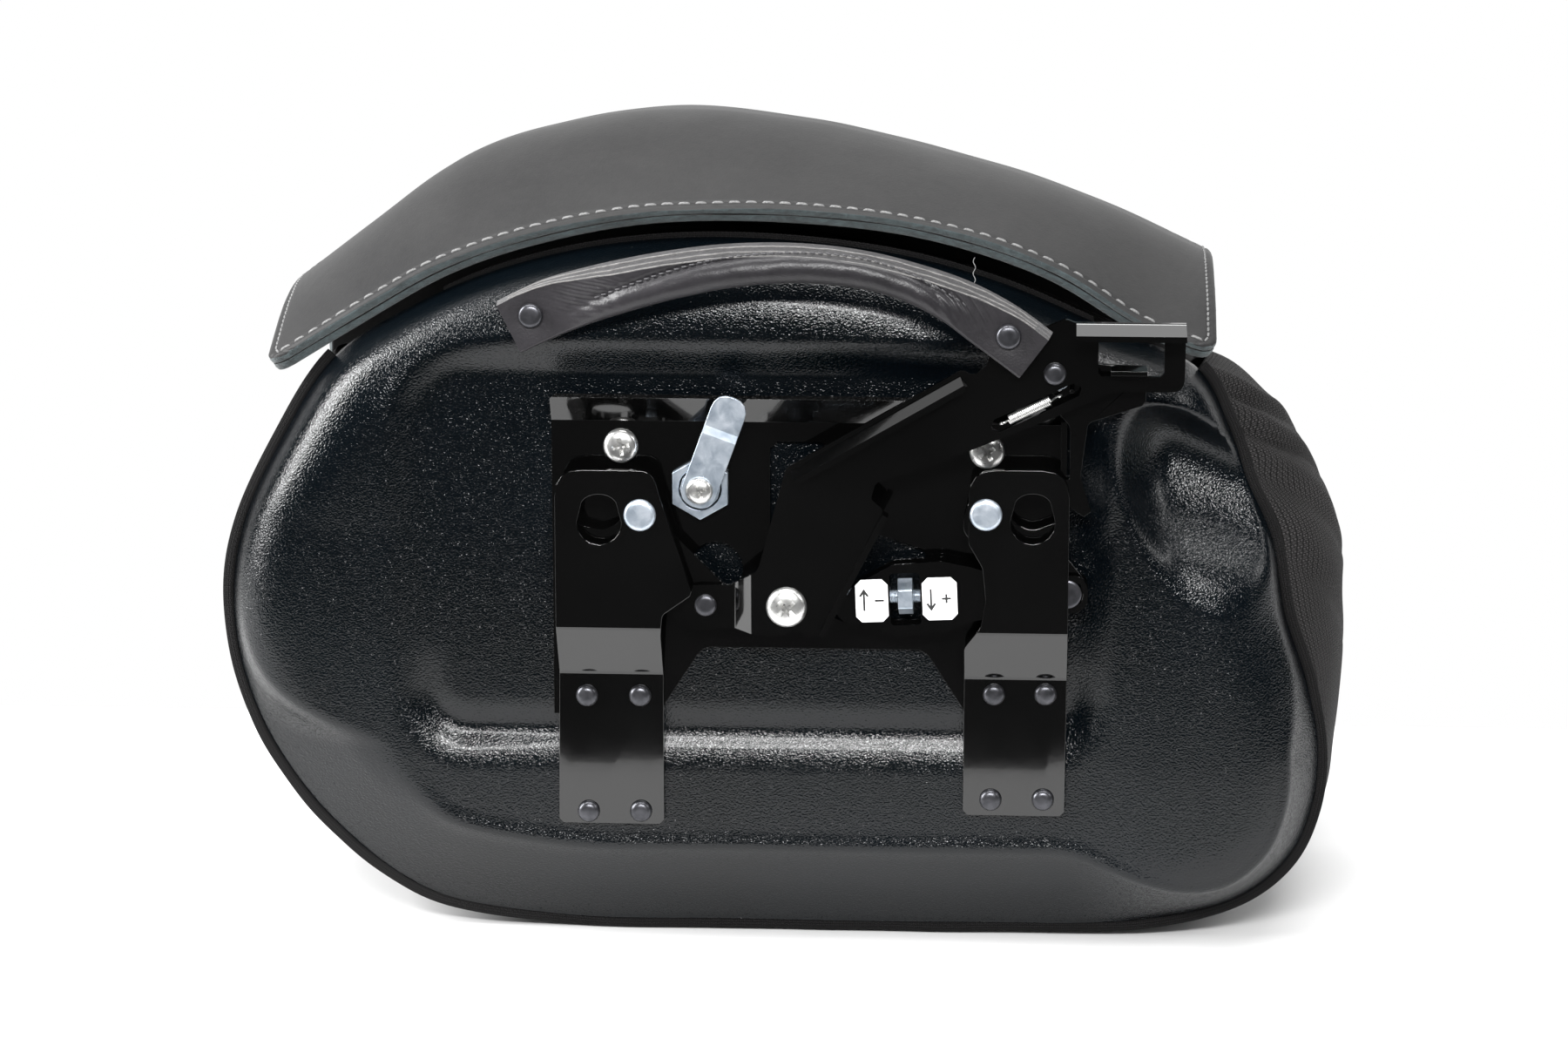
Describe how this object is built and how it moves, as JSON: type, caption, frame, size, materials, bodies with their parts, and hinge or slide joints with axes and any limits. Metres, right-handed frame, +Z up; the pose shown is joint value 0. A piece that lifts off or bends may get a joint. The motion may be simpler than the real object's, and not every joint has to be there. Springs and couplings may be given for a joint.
{
  "type": "motorcycle saddlebag",
  "caption": "Quick-detach saddlebag with a moulded back shell, a leather lid and grip, and a lever-operated docking clamp between two brackets.",
  "frame": {"origin": "centre of the bottom plate's underside in depth, below the middle of the mechanism", "axes": "+X along the bag's length, +Y away from the motorcycle towards the outer leather face, +Z up"},
  "size_m": [0.5035, 0.249, 0.3614],
  "materials": {
    "shell_plastic": "glossy black moulded plastic with a leather-like grain",
    "nylon_fabric": "black ballistic nylon weave",
    "lid_leather": "matte charcoal full-grain leather with raw edges",
    "grip_leather": "satin dark leather, rolled",
    "black_steel": "high-gloss black powder coat",
    "black_rivet": "black oxide rivet heads",
    "zinc_plate": "bright zinc plate",
    "stainless_screw": "stainless cross-head screws",
    "label_white": "printed vinyl label"
  },
  "bodies": {
    "bag": {"back_shell": "shell_plastic", "gusset": "nylon_fabric", "front_panel": "lid_leather", "back_piping": "nylon_fabric", "front_piping": "nylon_fabric", "bottom_plate": "shell_plastic", "hinge_strip": "nylon_fabric", "strap_stud_left": "zinc_plate", "strap_stud_right": "zinc_plate", "base_plate": "black_steel", "bracket_left": "black_steel", "bracket_right": "black_steel", "backing_plate": "black_steel", "bracket_rivet_left_1": "black_rivet", "bracket_rivet_left_2": "black_rivet", "bracket_rivet_left_3": "black_rivet", "bracket_rivet_left_4": "black_rivet", "bracket_rivet_right_1": "black_rivet", "bracket_rivet_right_2": "black_rivet", "bracket_rivet_right_3": "black_rivet", "bracket_rivet_right_4": "black_rivet", "plate_screw_left": "stainless_screw", "plate_screw_right": "stainless_screw", "jaw_pivot_left": "zinc_plate", "jaw_pivot_right": "zinc_plate", "grip_rivet_left": "black_rivet", "grip_leather": "grip_leather", "lock_barrel": "zinc_plate", "lock_nut": "zinc_plate"},
    "lid": {"lid_leather": "lid_leather", "lid_lining": "lid_leather", "lid_strap_left": "lid_leather", "lid_strap_right": "lid_leather", "strap_buckle_left": "zinc_plate", "strap_buckle_right": "zinc_plate"},
    "lever": {"lever": "black_steel", "lever_rivet": "black_rivet", "grip_rivet_right": "black_rivet", "link_screw": "stainless_screw", "link_spacer": "zinc_plate", "pawl_rivet": "black_rivet", "pawl_spacer": "zinc_plate", "pawl_spring": "zinc_plate"},
    "link": {"link_rod": "zinc_plate"},
    "adjuster": {"adjuster_body": "black_steel", "adjuster_label_left": "label_white", "adjuster_label_right": "label_white"},
    "adjuster_nut": {"adjuster_nut": "zinc_plate"},
    "jaw_left": {"jaw_left": "black_steel"},
    "jaw_right": {"jaw_right": "black_steel", "link_pin": "black_rivet"},
    "pawl": {"pawl": "black_steel"},
    "lock": {"lock_cam": "zinc_plate", "cam_screw": "stainless_screw"}
  },
  "joints": [
    {"name": "lid_hinge", "type": "hinge", "parent": "bag", "child": "lid", "pos_m": [0, -0.088, 0.321], "axis": [1, 0, 0], "range_deg": [0, 100]},
    {"name": "lever", "type": "hinge", "parent": "bag", "child": "lever", "pos_m": [-0.0315, -0.124, 0.159], "axis": [0, -1, 0], "range_deg": [0, 30], "deforming": ["grip_leather"]},
    {"name": "jaw_left", "type": "hinge", "parent": "bag", "child": "jaw_left", "pos_m": [-0.0595, -0.1165, 0.1995], "axis": [0, -1, 0], "range_deg": [0, 10]},
    {"name": "jaw_right", "type": "hinge", "parent": "bag", "child": "jaw_right", "pos_m": [0.0898, -0.1165, 0.2015], "axis": [0, 1, 0], "range_deg": [0, 10]},
    {"name": "link", "type": "hinge", "parent": "lever", "child": "link", "pos_m": [0.0042, -0.1154, 0.1605], "axis": [0, 1, 0], "range_deg": [0, 41]},
    {"name": "adjuster_slide", "type": "slide", "parent": "link", "child": "adjuster", "axis": [0.999, 0, 0.0455], "range_m": [-0.0015, 0.0015]},
    {"name": "adjuster_turn", "type": "hinge", "parent": "adjuster", "child": "adjuster_nut", "pos_m": [0.05515, -0.1154, 0.16282], "axis": [0.999, 0, 0.0455], "range_deg": [-540, 540]},
    {"name": "pawl", "type": "hinge", "parent": "lever", "child": "pawl", "pos_m": [0.1186, -0.121, 0.264], "axis": [0, -1, 0], "range_deg": [0, 10], "stiffness_Nm_per_rad": 0.5, "springref_deg": -17.19},
    {"name": "lock", "type": "hinge", "parent": "bag", "child": "lock", "pos_m": [-0.0345, -0.115, 0.2085], "axis": [0, 1, 0], "range_deg": [0, 90]}
  ],
  "couplings": [
    {"joint": "jaw_left", "follows": "lever", "ratio": 0.3333},
    {"joint": "jaw_right", "follows": "lever", "ratio": 0.3333},
    {"joint": "link", "follows": "lever", "ratio": 1.3555},
    {"joint": "adjuster_turn", "follows": "adjuster_slide", "rad_per_m": 6283.1}
  ]
}
